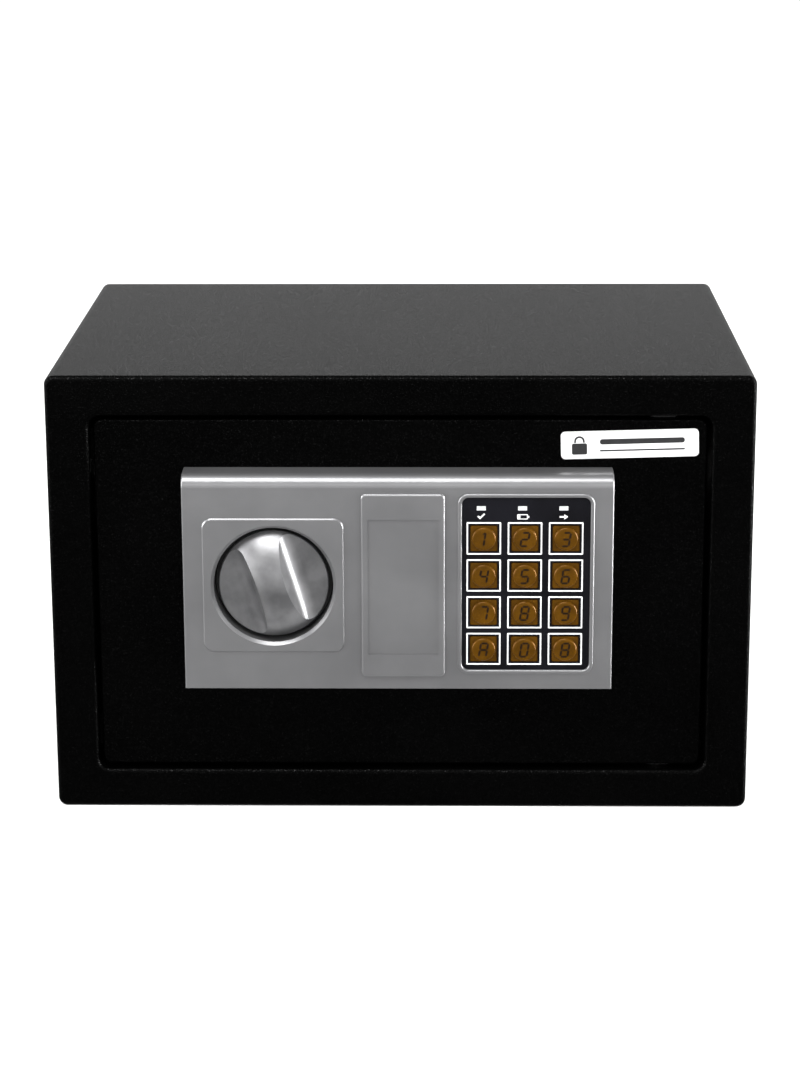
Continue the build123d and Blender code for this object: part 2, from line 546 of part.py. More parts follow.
def solenoid_plunger():
    """The steel pin that rises into a notch of the carriage."""
    pin = rod_z(PLUNGER_X, PLUNGER_Y, PLUNGER_R, COIL_LOW + 4, CARRIAGE_LOW - 1)
    return chamfer(pin.edges().sort_by(Axis.Z)[-1], 0.6)


def release_arm():
    """The collar on the plunger, drawn out into the arm that the emergency lock presses."""
    arm = rod_z(PLUNGER_X, PLUNGER_Y, 5, COLLAR_LOW, COLLAR_LOW + COLLAR_T)
    arm += slab(PLUNGER_X, LOCK_X + 4, PLUNGER_Y - 3.5, PLUNGER_Y + 2.5, COLLAR_LOW, COLLAR_LOW + COLLAR_T)
    return arm - rod_z(PLUNGER_X, PLUNGER_Y, PLUNGER_R, COLLAR_LOW - 1, COLLAR_LOW + 3)


def plunger_spring():
    """The spring between the solenoid and the collar, shown pressed flat."""
    wire_r, turns = 0.35, 3.0
    low, high = COIL_HIGH + 2 + wire_r + 0.05, COLLAR_LOW - wire_r - 0.05
    path = Helix(pitch=(high - low) / turns, height=high - low, radius=4.2)
    coil = sweep(Plane(path @ 0, z_dir=path % 0) * Circle(wire_r), path=path, is_frenet=True)
    return Pos(PLUNGER_X, PLUNGER_Y, low) * coil


# ================================================================ inner cover
def inner_cover():
    """The sheet cover over the lock work, with windows for the battery tray and the reset button."""
    x, z = (CASE_L + CASE_R) / 2, (CASE_LOW + CASE_HIGH) / 2
    w, h = CASE_R - CASE_L, CASE_HIGH - CASE_LOW
    case = panel(x, z, w, h, 4, DOOR_BACK, CASE_BACK)
    case = fillet(case.faces().sort_by(Axis.Y)[-1].edges(), 2.0)
    case -= panel(x, z, w - 2 * CASE_T, h - 2 * CASE_T, 3, DOOR_BACK - 1, CASE_INNER)
    through = (CASE_INNER - 1, CASE_BACK + 1)
    tray_x, tray_z = (TRAY_L + TRAY_R) / 2, (TRAY_LOW + TRAY_HIGH) / 2
    case -= plate(tray_x, tray_z, TRAY_R - TRAY_L + 0.6, TRAY_HIGH - TRAY_LOW + 0.6, *through)
    case -= rod_y(RESET_X, RESET_Z, RESET_R + 0.4, *through)
    for px, pz in POSTS:
        case -= rod_y(px, pz, 2.1, *through)
    for bolt_z in BOLT_ZS:
        case -= rod_x(BOLT_Y, bolt_z, BOLT_R + 0.6, CASE_L - 1, CASE_L + 2)
    return case


def cover_posts():
    """Threaded posts that stand on the door and take the cover's screws."""
    posts = [rod_y(x, z, 4, DOOR_BACK, CASE_INNER) - rod_y(x, z, 2, CASE_INNER - 12, CASE_INNER + 1)
             for x, z in POSTS]
    return Compound(posts)


def cover_screws():
    return Compound([screw(x, z, 1.95, 4, CASE_INNER - 9, CASE_BACK, CASE_BACK + 2.2) for x, z in POSTS])


def battery_tray():
    """The box for the cells. The lid slides in under the lips of its long walls."""
    lip_y = LID_Y0 + LID_T + 0.3
    tray = slab(TRAY_L, TRAY_R, TRAY_FLOOR, lip_y + 1.3, TRAY_LOW, TRAY_HIGH)
    tray += slab(TRAY_L - 4, TRAY_R + 4, CASE_INNER - 1.5, CASE_INNER, TRAY_LOW - 4, TRAY_HIGH + 4)
    w = TRAY_WALL
    tray -= slab(TRAY_L + w, TRAY_R - w, TRAY_FLOOR + w, lip_y + 2, TRAY_LOW + w + 1.2, TRAY_HIGH - w - 1.2)
    tray -= slab(TRAY_L - 1, TRAY_R - w, CASE_BACK, lip_y, TRAY_LOW + w, TRAY_HIGH - w)
    return tray - slab(TRAY_L - 1, TRAY_L + w + 1, CASE_BACK, lip_y + 2, TRAY_LOW + w + 1.2, TRAY_HIGH - w - 1.2)


def battery_lid():
    """The sliding lid, with three grip ribs and a thumb dish."""
    low, high = TRAY_LOW + TRAY_WALL + 0.3, TRAY_HIGH - TRAY_WALL - 0.3
    back = LID_Y0 + LID_T
    lid = slab(TRAY_L, TRAY_R - TRAY_WALL - 0.3, LID_Y0, back, low, high)
    mid_z = (low + high) / 2
    for i in range(3):
        x = TRAY_L + 8 + 3 * i
        lid += slab(x, x + 1.2, back, back + 0.7, mid_z - 12, mid_z + 12)
    return lid


def cell_z(i):
    """Height of a cell's axis."""
    room = TRAY_HIGH - TRAY_LOW - 2 * TRAY_WALL - 2.4
    return TRAY_LOW + TRAY_WALL + 1.2 + room * (i + 0.5) / CELLS


def batteries():
    """Four cells side by side, their ends turned alternately."""
    y, x0 = TRAY_FLOOR + TRAY_WALL + CELL_R + 0.1, TRAY_L + TRAY_WALL + 4
    cells = []
    for i in range(CELLS):
        nub_right = i % 2 == 0
        can = rod_x(y, cell_z(i), CELL_R - 0.05, x0 + (0 if nub_right else 1), x0 + CELL_LEN - (1 if nub_right else 0))
        can = fillet(can.edges().filter_by(GeomType.CIRCLE), 0.6)
        nub = (x0 + CELL_LEN - 1, x0 + CELL_LEN) if nub_right else (x0, x0 + 1)
        cells.append(can + rod_x(y, cell_z(i), 2.75, *nub))
    return Compound(cells)


def battery_contacts():
    """A sprung contact at the flat end of each cell and a plain one at the other."""
    y, x0 = TRAY_FLOOR + TRAY_WALL + CELL_R + 0.1, TRAY_L + TRAY_WALL
    x1 = TRAY_R - TRAY_WALL
    contacts = []
    for i in range(CELLS):
        z, sprung_left = cell_z(i), i % 2 == 0
        left = slab(x0, x0 + 0.5, y - 6, y + 6, z - 6, z + 6)
        right = slab(x1 - 0.5, x1, y - 6, y + 6, z - 6, z + 6)
        reach_l = x0 + 3.9
        reach_r = x0 + 4 + CELL_LEN + 0.1
        if sprung_left:
            left += Pos((x0 + 0.5 + reach_l) / 2, y, z) * Rot(0, 90, 0) * Cone(4.2, 2.6, reach_l - x0 - 0.5)
            right += rod_x(y, z, 2, reach_r, x1 - 0.5)
        else:
            left += rod_x(y, z, 2, x0 + 0.5, reach_l)
            right += Pos((x1 - 0.5 + reach_r) / 2, y, z) * Rot(0, -90, 0) * Cone(4.2, 2.6, x1 - 0.5 - reach_r)
        contacts += [left, right]
    return Compound(contacts)


def reset_switch():
    """The housing of the button that sets a new code."""
    body = plate(RESET_X, RESET_Z, 16, 16, -76, CASE_INNER - 1.5)
    body += plate(RESET_X, RESET_Z, 22, 18, CASE_INNER - 1.5, CASE_INNER)
    return body - rod_y(RESET_X, RESET_Z, RESET_R + 0.3, -70, CASE_INNER + 1)


def reset_button():
    button = rod_y(RESET_X, RESET_Z, RESET_R, -66, CASE_BACK + 2)
    return fillet(button.edges().sort_by(Axis.Y)[-1], 0.8)


# ================================================================ wiring
def cable_grommet():
    """The rubber ring where the leads pass through the door."""
    ring = rod_y(GROMMET_X, GROMMET_Z, 7, DOOR_FACE, DOOR_BACK)
    ring += rod_y(GROMMET_X, GROMMET_Z, 9, DOOR_BACK, DOOR_BACK + 1.5)
    return ring - rod_y(GROMMET_X, GROMMET_Z, 4.5, DOOR_FACE - 1, DOOR_BACK + 3)


LEAD_START = BOARD_FRONT + BOARD_T + 2.4


def battery_lead():
    x, y, z = GROMMET_X + 2, -86.0, GROMMET_Z - 1
    return lead([(x, LEAD_START, z), (x, y, z), (x, y, z - 36), (x, TRAY_FLOOR, z - 36)], 4)


def solenoid_lead():
    x, y, z = GROMMET_X - 2, -89.5, GROMMET_Z - 1
    run_x, run_z = 20.0, 36.0
    entry = PLUNGER_X + COIL_R
    points = [(x, LEAD_START, z), (x, y, z), (run_x, y, z), (run_x, y, run_z),
              (entry + 12, y, run_z), (entry + 6, PLUNGER_Y, run_z), (entry, PLUNGER_Y, run_z)]
    return lead(points, [4, 12, 12, 4, 3])


def reset_lead():
    x, y, z = GROMMET_X, -89.5, GROMMET_Z + 2
    run_x = 94.0
    points = [(x, LEAD_START, z), (x, y, z), (run_x, y, z), (run_x, y, RESET_Z),
              (RESET_X + 14, y, RESET_Z), (RESET_X + 14, -70, RESET_Z), (RESET_X + 8, -70, RESET_Z)]
    return lead(points, [4, 12, 12, 4, 3])


# ================================================================ the whole set
def all_parts():
    parts = {
        "cabinet_wrap": cabinet_wrap(), "front_frame": front_frame(), "back_panel": back_panel(),
        "floor_mat": floor_mat(), "door_stops": door_stops(),
        "door_plate": door_plate(),
        "hinge_brackets": hinge_brackets(), "hinge_pins": hinge_pins(), "hinge_spacers": hinge_spacers(),
        "lock_panel": lock_panel(), "panel_screws": panel_screws(), "key_cover": key_cover(),
        "knob": knob(), "knob_spindle": knob_spindle(), "spindle_bush": spindle_bush(),
        "crank_disc": crank_disc(),
        "keypad_overlay": keypad_overlay(), "indicator_lenses": indicator_lenses(),
        "dome_mat": dome_mat(), "keypad_board": keypad_board(),
        "board_screws": board_screws(), "nameplate": nameplate(),
        "override_lock_body": override_lock_body(), "override_lock_nut": override_lock_nut(),
        "override_lock_plug": override_lock_plug(), "override_cam": override_cam(),
        "bolt_carriage": bolt_carriage(), "locking_bolts": locking_bolts(), "bolt_guide": bolt_guide(),
        "guide_studs": guide_studs(),
        "solenoid_frame": solenoid_frame(), "solenoid_coil": solenoid_coil(),
        "solenoid_plunger": solenoid_plunger(), "release_arm": release_arm(),
        "plunger_spring": plunger_spring(),
        "inner_cover": inner_cover(), "cover_posts": cover_posts(), "cover_screws": cover_screws(),
        "battery_tray": battery_tray(), "battery_lid": battery_lid(), "batteries": batteries(),
        "battery_contacts": battery_contacts(),
        "reset_switch": reset_switch(), "reset_button": reset_button(),
        "cable_grommet": cable_grommet(), "battery_lead": battery_lead(),
        "solenoid_lead": solenoid_lead(), "reset_lead": reset_lead(),
    }
    for name, x, z in key_places():
        parts[name] = key_cap(x, z)
    return parts


os.makedirs("parts", exist_ok=True)
for name, shape in all_parts().items():
    shape.label = name
    export_step(shape, f"parts/{name}.step")
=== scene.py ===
"""The looks of a small digital safe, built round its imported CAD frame.

The origin is under the middle of the cabinet, +X to the right of a person facing the door, +Y to the
back, +Z up.
Sizes in this script are millimetres, turned into Blender's metres by MM.
"""

import json
import math

import bmesh
import bpy
from mathutils import Matrix, Vector


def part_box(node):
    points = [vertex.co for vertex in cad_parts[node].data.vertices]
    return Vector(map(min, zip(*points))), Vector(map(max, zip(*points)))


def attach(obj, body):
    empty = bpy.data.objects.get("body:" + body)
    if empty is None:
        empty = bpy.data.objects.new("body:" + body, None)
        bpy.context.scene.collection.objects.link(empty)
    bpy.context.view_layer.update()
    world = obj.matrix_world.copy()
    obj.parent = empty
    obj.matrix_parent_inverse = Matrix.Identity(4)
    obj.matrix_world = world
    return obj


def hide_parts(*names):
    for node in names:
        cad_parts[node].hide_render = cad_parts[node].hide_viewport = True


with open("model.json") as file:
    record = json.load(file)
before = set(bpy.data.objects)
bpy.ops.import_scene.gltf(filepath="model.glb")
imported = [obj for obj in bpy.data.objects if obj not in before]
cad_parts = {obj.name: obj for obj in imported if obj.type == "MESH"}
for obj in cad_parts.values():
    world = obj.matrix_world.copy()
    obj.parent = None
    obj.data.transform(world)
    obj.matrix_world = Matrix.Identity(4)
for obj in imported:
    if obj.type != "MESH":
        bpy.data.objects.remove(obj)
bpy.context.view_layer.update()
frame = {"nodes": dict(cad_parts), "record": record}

MM = 0.001
nodes = frame["nodes"]


def box_mm(node):
    """A node's box at rest as (x0, x1, y0, y1, z0, z1) in millimetres."""
    low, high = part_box(node)
    return low.x / MM, high.x / MM, low.y / MM, high.y / MM, low.z / MM, high.z / MM


# ================================================================ camera and light
CAMERA_AT = Vector((0.0179, -1.1805, 0.4621))
CAMERA_PITCH, CAMERA_YAW, CAMERA_ROLL = 13.51, 0.94, -0.22    # degrees: down, to the left, anticlockwise
LENS, RISE = 84.70, -0.16        # focal length on a 36 mm sensor, and the vertical shift


def add_camera():
    """The camera that the picture is taken with."""
    data = bpy.data.cameras.new("camera")
    data.lens = LENS
    data.sensor_width = 36.0
    data.shift_y = RISE
    camera = bpy.data.objects.new("camera", data)
    bpy.context.scene.collection.objects.link(camera)
    turn = Matrix.Rotation(math.radians(CAMERA_YAW), 4, "Z")
    tip = Matrix.Rotation(math.radians(90 - CAMERA_PITCH), 4, "X")
    roll = Matrix.Rotation(math.radians(CAMERA_ROLL), 4, "Z")
    camera.matrix_world = Matrix.Translation(CAMERA_AT) @ turn @ tip @ roll
    bpy.context.scene.camera = camera


def softbox(name, at, aim, size, power):
    """A rectangular soft light at a place, pointed at another."""
    data = bpy.data.lights.new(name, "AREA")
    data.shape = "RECTANGLE"
    data.size, data.size_y = size
    data.energy = power
    light = bpy.data.objects.new(name, data)
    bpy.context.scene.collection.objects.link(light)
    light.location = at
    light.rotation_euler = (Vector(aim) - Vector(at)).to_track_quat("-Z", "Y").to_euler()


# Brightness of the studio at heights from straight down (0) through the horizon (0.5) to straight up (1).
STUDIO = ((0.0, 0.45), (0.18, 0.22), (0.26, 0.01), (0.325, 0.02), (0.365, 0.40), (0.44, 0.36), (0.50, 0.42),
          (0.58, 0.84), (0.62, 1.00), (0.67, 0.80), (0.76, 0.20), (1.0, 0.20))
AHEAD, ASIDE = 1.9, 4.0         # how bright the walls are in front and behind, and to the left and right
WALL_FROM, WALL_TO = 0.35, 0.9  # how far to the side the walls start to brighten, and are brightest
FLOOR_HALF = 30                 # half the floor's width, in metres
SUN_POWER, SUN_SPREAD, SUN_TILT = 0.35, 100, (12, -8)           # spread and tilt in degrees


def add_world():
    """A studio dome: a bright band just above the horizon, a dark one well below it, brighter walls aside."""
    world = bpy.data.worlds.new("studio")
    bpy.context.scene.world = world
    world.use_nodes = True
    tree = world.node_tree
    spot = tree.nodes.new("ShaderNodeTexCoord")
    split = tree.nodes.new("ShaderNodeSeparateXYZ")
    height = tree.nodes.new("ShaderNodeMapRange")
    height.inputs["From Min"].default_value = -1.0
    levels = tree.nodes.new("ShaderNodeValToRGB")
    stops = levels.color_ramp.elements
    while len(stops) < len(STUDIO):
        stops.new(0.5)
    for stop, (place, level) in zip(stops, STUDIO):
        stop.position = place
        stop.color = (level, level, level, 1)
    tree.links.new(spot.outputs["Generated"], split.inputs[0])
    tree.links.new(split.outputs["Z"], height.inputs["Value"])
    tree.links.new(height.outputs["Result"], levels.inputs["Fac"])
    tree.links.new(levels.outputs["Color"], tree.nodes["Background"].inputs["Color"])
    aside = tree.nodes.new("ShaderNodeMath")
    aside.operation = "ABSOLUTE"
    wall = tree.nodes.new("ShaderNodeMapRange")
    wall.inputs["From Min"].default_value = WALL_FROM
    wall.inputs["From Max"].default_value = WALL_TO
    wall.inputs["To Min"].default_value = AHEAD
    wall.inputs["To Max"].default_value = ASIDE
    tree.links.new(split.outputs["X"], aside.inputs[0])
    tree.links.new(aside.outputs["Value"], wall.inputs["Value"])
    tree.links.new(wall.outputs["Result"], tree.nodes["Background"].inputs["Strength"])


def add_floor():
    """A wide, flat, pale floor."""
    mesh = bpy.data.meshes.new("floor")
    build = bmesh.new()
    corners = ((-1, -1), (1, -1), (1, 1), (-1, 1))
    build.faces.new([build.verts.new((x * FLOOR_HALF, y * FLOOR_HALF, 0)) for x, y in corners])
    build.to_mesh(mesh)
    build.free()
    floor = bpy.data.objects.new("floor", mesh)
    bpy.context.scene.collection.objects.link(floor)
    floor.data.materials.append(plain_floor())
    floor.visible_glossy = False


def add_sun():
    """A very soft overhead light that keeps the floor white out to the horizon."""
    data = bpy.data.lights.new("overhead", "SUN")
    data.energy = SUN_POWER
    data.angle = math.radians(SUN_SPREAD)
    light = bpy.data.objects.new("overhead", data)
    bpy.context.scene.collection.objects.link(light)
    light.rotation_euler = (math.radians(SUN_TILT[0]), math.radians(SUN_TILT[1]), 0)


# ================================================================ material kit
def new_material(name):
    """A material with its node tree, and its shader."""
    material = bpy.data.materials.new(name)
    material.use_nodes = True
    return material, material.node_tree, material.node_tree.nodes["Principled BSDF"]


def object_coords(tree, stretch=(1, 1, 1)):
    """The piece's own coordinates in metres, stretched by a factor along each axis."""
    coords = tree.nodes.new("ShaderNodeTexCoord")
    mapping = tree.nodes.new("ShaderNodeMapping")
    mapping.inputs["Scale"].default_value = stretch
    tree.links.new(coords.outputs["Object"], mapping.inputs["Vector"])
    return mapping.outputs["Vector"]


def noise(tree, vector, size_mm, detail=2.0, roughness=0.5):
    """Noise whose features are about size_mm across."""
    node = tree.nodes.new("ShaderNodeTexNoise")
    node.inputs["Scale"].default_value = 1 / (size_mm * MM)
    node.inputs["Detail"].default_value = detail
    node.inputs["Roughness"].default_value = roughness
    tree.links.new(vector, node.inputs["Vector"])
    return node.outputs["Fac"]


def ramp(tree, value, low, high, start=0.35, end=0.65):
    """A value between two others, or a colour between two, as the input goes from start to end."""
    if isinstance(low, tuple):
        node = tree.nodes.new("ShaderNodeValToRGB")
        node.color_ramp.elements[0].position = start
        node.color_ramp.elements[0].color = (*low, 1)
        node.color_ramp.elements[1].position = end
        node.color_ramp.elements[1].color = (*high, 1)
        tree.links.new(value, node.inputs["Fac"])
        return node.outputs["Color"]
    node = tree.nodes.new("ShaderNodeMapRange")
    node.inputs["From Min"].default_value = start
    node.inputs["From Max"].default_value = end
    node.inputs["To Min"].default_value = low
    node.inputs["To Max"].default_value = high
    tree.links.new(value, node.inputs["Value"])
    return node.outputs["Result"]


def bump(tree, shader, height, depth_mm, strength=1.0, under=None):
    """Adds a bump, on top of an earlier one if there is one, and returns its output."""
    node = tree.nodes.new("ShaderNodeBump")
    node.inputs["Strength"].default_value = strength
    node.inputs["Distance"].default_value = depth_mm * MM
    tree.links.new(height, node.inputs["Height"])
    if under is not None:
        tree.links.new(under, node.inputs["Normal"])
    tree.links.new(node.outputs["Normal"], shader.inputs["Normal"])
    return node.outputs["Normal"]


def finish_material(name, dark, light, rough=(0.4, 0.5), metallic=0.0, grain_mm=0.8, grain_depth_mm=0.05,
                    cloud_mm=25.0, stretch=(1, 1, 1), specular=0.5):
    """A painted, moulded or metal surface: clouded colour, uneven gloss and a fine grain."""
    material, tree, shader = new_material(name)
    vector = object_coords(tree, stretch)
    cloud = noise(tree, vector, cloud_mm, 3.0)
    tree.links.new(ramp(tree, cloud, dark, light), shader.inputs["Base Color"])
    fine = noise(tree, vector, grain_mm, 3.0, 0.6)
    tree.links.new(ramp(tree, fine, rough[0], rough[1]), shader.inputs["Roughness"])
    bump(tree, shader, fine, grain_depth_mm)
    shader.inputs["Metallic"].default_value = metallic
    shader.inputs["Specular IOR Level"].default_value = specular
    return material


def plain_floor():
    """The floor's plain pale material, with a little light of its own so that it stays white."""
    material, _, shader = new_material("pale_floor")
    shader.inputs["Base Color"].default_value = (0.88, 0.88, 0.88, 1)
    shader.inputs["Roughness"].default_value = 0.9
    shader.inputs["Specular IOR Level"].default_value = 0.1
    shader.inputs["Emission Color"].default_value = (1, 1, 1, 1)
    shader.inputs["Emission Strength"].default_value = 0.2
    return material


def powder_coat():
    """Black powder coat: a fine pebbled skin that sparkles where an edge turns to the light."""
    material, tree, shader = new_material("powder_coat")
    vector = object_coords(tree)
    cloud = noise(tree, vector, 40.0, 3.0)
    tree.links.new(ramp(tree, cloud, (0.0001, 0.0001, 0.0001), (0.0003, 0.0003, 0.0003)),
                   shader.inputs["Base Color"])
    pebble = noise(tree, vector, 0.9, 2.0, 0.55)
    speck = noise(tree, vector, 0.45, 1.0)
    tree.links.new(ramp(tree, speck, 0.16, 0.42, 0.30, 0.55), shader.inputs["Roughness"])
    first = bump(tree, shader, pebble, 0.26, 0.8)
    bump(tree, shader, speck, 0.14, 0.7, under=first)
    tree.links.new(ramp(tree, speck, 0.0, 0.45, 0.62, 0.72), shader.inputs["Coat Weight"])
    tree.links.new(first, shader.inputs["Coat Normal"])
    shader.inputs["Coat Roughness"].default_value = 0.10
    shader.inputs["Specular IOR Level"].default_value = 0.02
    return material


def felt():
    """Charcoal felt: matted fibres that catch the light at a slant."""
    material, tree, shader = new_material("felt")
    vector = object_coords(tree)
    fibre = noise(tree, object_coords(tree, (1.0, 0.35, 1.0)), 0.7, 4.0, 0.7)
    patch = noise(tree, vector, 9.0, 3.0)
    mix = tree.nodes.new("ShaderNodeMix")
    mix.data_type = "RGBA"
    mix.inputs[0].default_value = 0.35
    tree.links.new(ramp(tree, fibre, (0.018, 0.018, 0.020), (0.070, 0.070, 0.075)), mix.inputs[6])
    tree.links.new(ramp(tree, patch, (0.022, 0.022, 0.024), (0.050, 0.050, 0.053)), mix.inputs[7])
    tree.links.new(mix.outputs[2], shader.inputs["Base Color"])
    shader.inputs["Roughness"].default_value = 0.95
    shader.inputs["Sheen Weight"].default_value = 0.35
    shader.inputs["Sheen Roughness"].default_value = 0.5
    bump(tree, shader, fibre, 0.4)
    return material


def circuit_board():
    """Green solder mask over faint square-routed copper."""
    material, tree, shader = new_material("circuit_board")
    vector = object_coords(tree)
    brick = tree.nodes.new("ShaderNodeTexBrick")
    brick.inputs["Scale"].default_value = 260.0
    brick.inputs["Mortar Size"].default_value = 0.08
    brick.inputs["Color1"].default_value = (0.012, 0.115, 0.035, 1)
    brick.inputs["Color2"].default_value = (0.014, 0.135, 0.040, 1)
    brick.inputs["Mortar"].default_value = (0.040, 0.24, 0.075, 1)
    turn = tree.nodes.new("ShaderNodeMapping")
    turn.inputs["Rotation"].default_value = (math.radians(90), 0, 0)
    tree.links.new(vector, turn.inputs["Vector"])
    tree.links.new(turn.outputs["Vector"], brick.inputs["Vector"])
    tree.links.new(brick.outputs["Color"], shader.inputs["Base Color"])
    tree.links.new(ramp(tree, noise(tree, vector, 3.0), 0.22, 0.34), shader.inputs["Roughness"])
    bump(tree, shader, brick.outputs["Fac"], 0.03)
    return material


def paint_nodes():
    """Gives every CAD node its material, and returns the materials by slot."""
    black = powder_coat()
    silver = finish_material("silver_paint", (0.205, 0.205, 0.21), (0.235, 0.235, 0.24), rough=(0.29, 0.35),
                             metallic=0.75, grain_mm=0.45, grain_depth_mm=0.010, cloud_mm=30.0)
    chrome = finish_material("satin_chrome", (0.17, 0.17, 0.175), (0.24, 0.24, 0.245), rough=(0.32, 0.40),
                             metallic=0.85, grain_mm=0.4, grain_depth_mm=0.004, cloud_mm=9.0)
    zinc = finish_material("zinc_plate", (0.48, 0.48, 0.46), (0.60, 0.61, 0.62), rough=(0.28, 0.45),
                           metallic=1.0, grain_mm=1.2, grain_depth_mm=0.02, cloud_mm=7.0)
    steel = finish_material("turned_steel", (0.58, 0.58, 0.59), (0.66, 0.66, 0.67), rough=(0.20, 0.32),
                            metallic=1.0, grain_mm=0.5, grain_depth_mm=0.02, stretch=(6, 1, 1))
    nylon = finish_material("nylon", (0.66, 0.65, 0.60), (0.74, 0.73, 0.68), rough=(0.38, 0.48),
                            grain_mm=0.5, grain_depth_mm=0.02)
    gloss = finish_material("keypad_film", (0.003, 0.003, 0.004), (0.005, 0.005, 0.007), rough=(0.22, 0.30),
                            grain_mm=0.3, grain_depth_mm=0.008, specular=0.12)
    lens = finish_material("lamp_lens", (0.42, 0.43, 0.43), (0.52, 0.53, 0.53), rough=(0.25, 0.32),
                           grain_mm=0.4, grain_depth_mm=0.02, cloud_mm=2.0)
    silicone = finish_material("silicone", (0.33, 0.34, 0.35), (0.40, 0.41, 0.42), rough=(0.55, 0.70),
                               grain_mm=0.6, grain_depth_mm=0.02)
    plate = finish_material("nameplate_face", (0.64, 0.64, 0.64), (0.72, 0.72, 0.72), rough=(0.30, 0.36),
                            metallic=0.10, grain_mm=0.35, grain_depth_mm=0.004)
    brass = finish_material("lock_brass", (0.52, 0.46, 0.32), (0.62, 0.56, 0.40), rough=(0.25, 0.38),
                            metallic=1.0, grain_mm=0.5, grain_depth_mm=0.015, cloud_mm=4.0)
    copper = finish_material("copper_wire", (0.42, 0.15, 0.055), (0.55, 0.23, 0.09), rough=(0.25, 0.40),
                             metallic=1.0, grain_mm=0.5, grain_depth_mm=0.05, stretch=(0.2, 0.2, 2.0))
    plastic = finish_material("black_plastic", (0.010, 0.010, 0.011), (0.016, 0.016, 0.017),
                              rough=(0.42, 0.58), grain_mm=0.5, grain_depth_mm=0.05)
    red = finish_material("red_plastic", (0.42, 0.012, 0.010), (0.50, 0.018, 0.014), rough=(0.20, 0.28),
                          grain_mm=0.6, grain_depth_mm=0.01)
    jacket = finish_material("cell_jacket", (0.020, 0.024, 0.040), (0.030, 0.034, 0.055), rough=(0.22, 0.32),
                             metallic=0.4, grain_mm=0.8, grain_depth_mm=0.01)
    rubber = finish_material("rubber", (0.012, 0.012, 0.012), (0.020, 0.020, 0.020), rough=(0.60, 0.75),
                             grain_mm=0.6, grain_depth_mm=0.03)
    red_wire = finish_material("red_wire", (0.30, 0.012, 0.010), (0.38, 0.018, 0.014), rough=(0.40, 0.52),
                               grain_mm=0.8, grain_depth_mm=0.02)
    amber = finish_material("amber_plastic", (0.066, 0.027, 0.0008), (0.094, 0.039, 0.0014),
                            rough=(0.20, 0.28), metallic=0.35, grain_mm=0.4, grain_depth_mm=0.006,
                            cloud_mm=6.0, specular=0.15)
    board = circuit_board()
    by_slot = {
        "black_powder_coat": black, "felt": felt(), "silver_shell": silver, "satin_chrome": chrome,
        "zinc_steel": zinc, "bright_steel": steel, "nylon": nylon, "black_gloss": gloss, "lens_white": lens,
        "silicone": silicone, "circuit_board": board, "nameplate_silver": plate, "lock_brass": brass,
        "copper_winding": copper, "black_plastic": plastic, "red_plastic": red, "cell_jacket": jacket,
        "rubber_black": rubber, "lead_red": red_wire, "amber_key": amber,
    }
    for part in frame["record"]["subparts"]:
        mesh = nodes[part["node"]].data
        mesh.materials.clear()
        mesh.materials.append(by_slot[part["material_slot"]])
    return by_slot


# ================================================================ prints
PRINT_T = 0.06                   # thickness of printed ink


def rounded(cx, cz, w, h, r, steps=4):
    """The outline of a rounded rectangle, anticlockwise from the right."""
    points = []
    for quarter, (sx, sz) in enumerate(((1, 1), (-1, 1), (-1, -1), (1, -1))):
        for step in range(steps + 1):
            angle = math.radians(90 * quarter + 90 * step / steps)
            points.append((cx + sx * (w / 2 - r) + r * math.cos(angle),
                           cz + sz * (h / 2 - r) + r * math.sin(angle)))
    return points


def turned(points, cx, cz, degrees):
    """Points turned round a centre, anticlockwise as seen from the front."""
    c, s = math.cos(math.radians(degrees)), math.sin(math.radians(degrees))
    return [(cx + (x - cx) * c - (z - cz) * s, cz + (x - cx) * s + (z - cz) * c) for x, z in points]


def ink(name, y_back, outlines, material, body, rings=()):
    """Flat printed shapes that stand PRINT_T proud of the plane y_back, in front of it.

    Each outline is filled; each ring is an outer and an inner outline, filled between them.
    """
    build = bmesh.new()
    y_front = y_back - PRINT_T

    def loop(points, y):
        return [build.verts.new((x * MM, y * MM, z * MM)) for x, z in points]

    def skirt(front, back):
        for i in range(len(front)):
            j = (i + 1) % len(front)
            build.faces.new((front[i], back[i], back[j], front[j]))

    for points in outlines:
        front, back = loop(points, y_front), loop(points, y_back)
        build.faces.new(front)
        build.faces.new(back[::-1])
        skirt(front, back)
    for outer, inner in rings:
        fronts = loop(outer, y_front), loop(inner, y_front)
        backs = loop(outer, y_back), loop(inner, y_back)
        for i in range(len(outer)):
            j = (i + 1) % len(outer)
            build.faces.new((fronts[0][i], fronts[0][j], fronts[1][j], fronts[1][i]))
            build.faces.new((backs[0][i], backs[1][i], backs[1][j], backs[0][j]))
        skirt(fronts[0], backs[0])
        skirt(backs[1], fronts[1])
    bmesh.ops.recalc_face_normals(build, faces=build.faces)
    mesh = bpy.data.meshes.new(name)
    build.to_mesh(mesh)
    build.free()
    piece = bpy.data.objects.new(name, mesh)
    bpy.context.scene.collection.objects.link(piece)
    mesh.materials.append(material)
    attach(piece, body)


